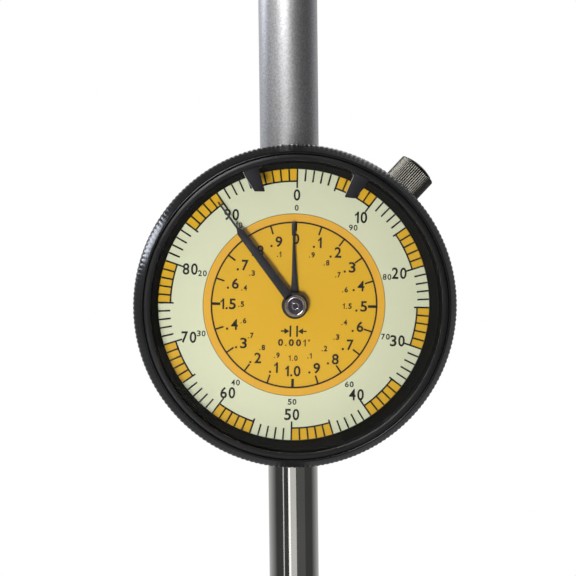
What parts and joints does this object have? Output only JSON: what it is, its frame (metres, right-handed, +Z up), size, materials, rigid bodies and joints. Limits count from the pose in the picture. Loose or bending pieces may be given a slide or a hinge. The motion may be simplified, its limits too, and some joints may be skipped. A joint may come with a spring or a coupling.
{
  "type": "long-travel dial indicator",
  "caption": "Long-travel dial indicator with a round two-hand dial in a knurled turning bezel, a stem and plunger below, a spindle sleeve above and a lug on the back.",
  "frame": {"origin": "on the spindle axis, where a clamp holds the stem, 46 mm below the dial centre", "axes": "+Z up along the spindle, away from the contact point; the dial faces -Y; +X is to the reader's right"},
  "size_m": [0.06, 0.0406, 0.22],
  "materials": {
    "steel_polished": "polished",
    "steel_satin": "satin",
    "nickel_knurled": "satin",
    "black_bezel": "semi-gloss black",
    "case_black": "satin black",
    "crystal": "polished",
    "dial_print": "matte print",
    "black_hand": "satin",
    "marker_black": "satin",
    "brass": "satin",
    "spring_steel": "satin",
    "fibre": "matte",
    "bronze": "satin",
    "screw_steel": "satin",
    "blued_steel": "polished"
  },
  "bodies": {
    "case": {"case_body": "case_black", "back_cover": "case_black", "back_cover_screws": "screw_steel", "stem": "steel_polished", "stem_bush": "bronze", "spindle_sleeve": "steel_satin", "upper_bush": "bronze", "stop_buffer": "fibre", "sleeve_cap": "steel_satin", "front_plate": "brass", "plate_screws": "screw_steel", "rear_plate": "brass", "plate_pillars": "brass", "rear_plate_screws": "screw_steel", "centre_bridge": "brass", "bridge_pillars": "brass", "bridge_screws": "screw_steel", "pivot_bushes": "bronze", "counter_post": "bronze", "bezel_retaining_wire": "spring_steel", "return_spring": "spring_steel", "hairspring": "blued_steel", "hairspring_stud": "brass"},
    "spindle_rod": {"spindle": "steel_polished", "spring_seat": "brass", "guide_pin": "screw_steel", "contact_point": "steel_polished", "contact_ball": "steel_polished"},
    "bezel_assembly": {"bezel": "black_bezel", "crystal": "crystal", "dial_plate": "dial_print", "dial_retaining_ring": "spring_steel"},
    "low_limit": {"limit_marker_left": "marker_black"},
    "high_limit": {"limit_marker_right": "marker_black"},
    "clamp_foot": {"clamp_washer": "screw_steel"},
    "clamp_knob": {"bezel_clamp_screw": "nickel_knurled"},
    "rack_shaft": {"rack_arbor": "steel_polished", "rack_pinion": "steel_polished", "drive_gear": "brass", "counter_pinion": "steel_polished"},
    "centre_shaft": {"centre_arbor": "steel_polished", "centre_pinion": "steel_polished", "main_pointer": "black_hand", "pointer_hub": "steel_polished"},
    "counter_shaft": {"counter_wheel": "brass", "counter_tube": "brass", "counter_pointer": "black_hand"},
    "takeup_shaft": {"takeup_arbor": "steel_polished", "takeup_wheel": "brass", "hairspring_collet": "brass"}
  },
  "joints": [
    {"name": "spindle_slide", "type": "slide", "parent": "case", "child": "spindle_rod", "axis": [0, 0, 1], "range_m": [0, 0.0513], "stiffness_N_per_m": 18, "springref_m": -0.061, "deforming": ["return_spring"]},
    {"name": "main_pointer_turn", "type": "hinge", "parent": "case", "child": "centre_shaft", "pos_m": [0, 0, 0.046], "axis": [0, 1, 0], "range_deg": [-10, 7290]},
    {"name": "counter_pointer_turn", "type": "hinge", "parent": "case", "child": "counter_shaft", "pos_m": [0, 0, 0.046], "axis": [0, 1, 0], "range_deg": [-5, 370]},
    {"name": "rack_arbor_turn", "type": "hinge", "parent": "case", "child": "rack_shaft", "pos_m": [-0.00392, 0, 0.05734], "axis": [0, 1, 0], "range_deg": [-1460, 10]},
    {"name": "takeup_turn", "type": "hinge", "parent": "case", "child": "takeup_shaft", "pos_m": [0.00392, 0, 0.03466], "axis": [0, 1, 0], "range_deg": [-1460, 10]},
    {"name": "bezel_turn", "type": "hinge", "parent": "case", "child": "bezel_assembly", "pos_m": [0, 0, 0.046], "axis": [0, 1, 0], "continuous": true},
    {"name": "low_limit_turn", "type": "hinge", "parent": "bezel_assembly", "child": "low_limit", "pos_m": [0, 0, 0.046], "axis": [0, 1, 0], "range_deg": [-150, 12]},
    {"name": "high_limit_turn", "type": "hinge", "parent": "bezel_assembly", "child": "high_limit", "pos_m": [0, 0, 0.046], "axis": [0, 1, 0], "range_deg": [-12, 150]},
    {"name": "clamp_advance", "type": "slide", "parent": "case", "child": "clamp_foot", "axis": [-0.6947, 0, -0.7193], "range_m": [0, 0.00025]},
    {"name": "clamp_turn", "type": "hinge", "parent": "clamp_foot", "child": "clamp_knob", "pos_m": [0.01987, -0.003, 0.06657], "axis": [-0.6947, 0, -0.7193], "range_deg": [-5, 190]}
  ],
  "couplings": [
    {"joint": "main_pointer_turn", "follows": "spindle_slide", "rad_per_m": 2473.7},
    {"joint": "counter_pointer_turn", "follows": "spindle_slide", "rad_per_m": 123.68},
    {"joint": "rack_arbor_turn", "follows": "spindle_slide", "rad_per_m": -494.74},
    {"joint": "takeup_turn", "follows": "spindle_slide", "rad_per_m": -494.74},
    {"joint": "clamp_turn", "follows": "clamp_advance", "rad_per_m": 12566}
  ]
}
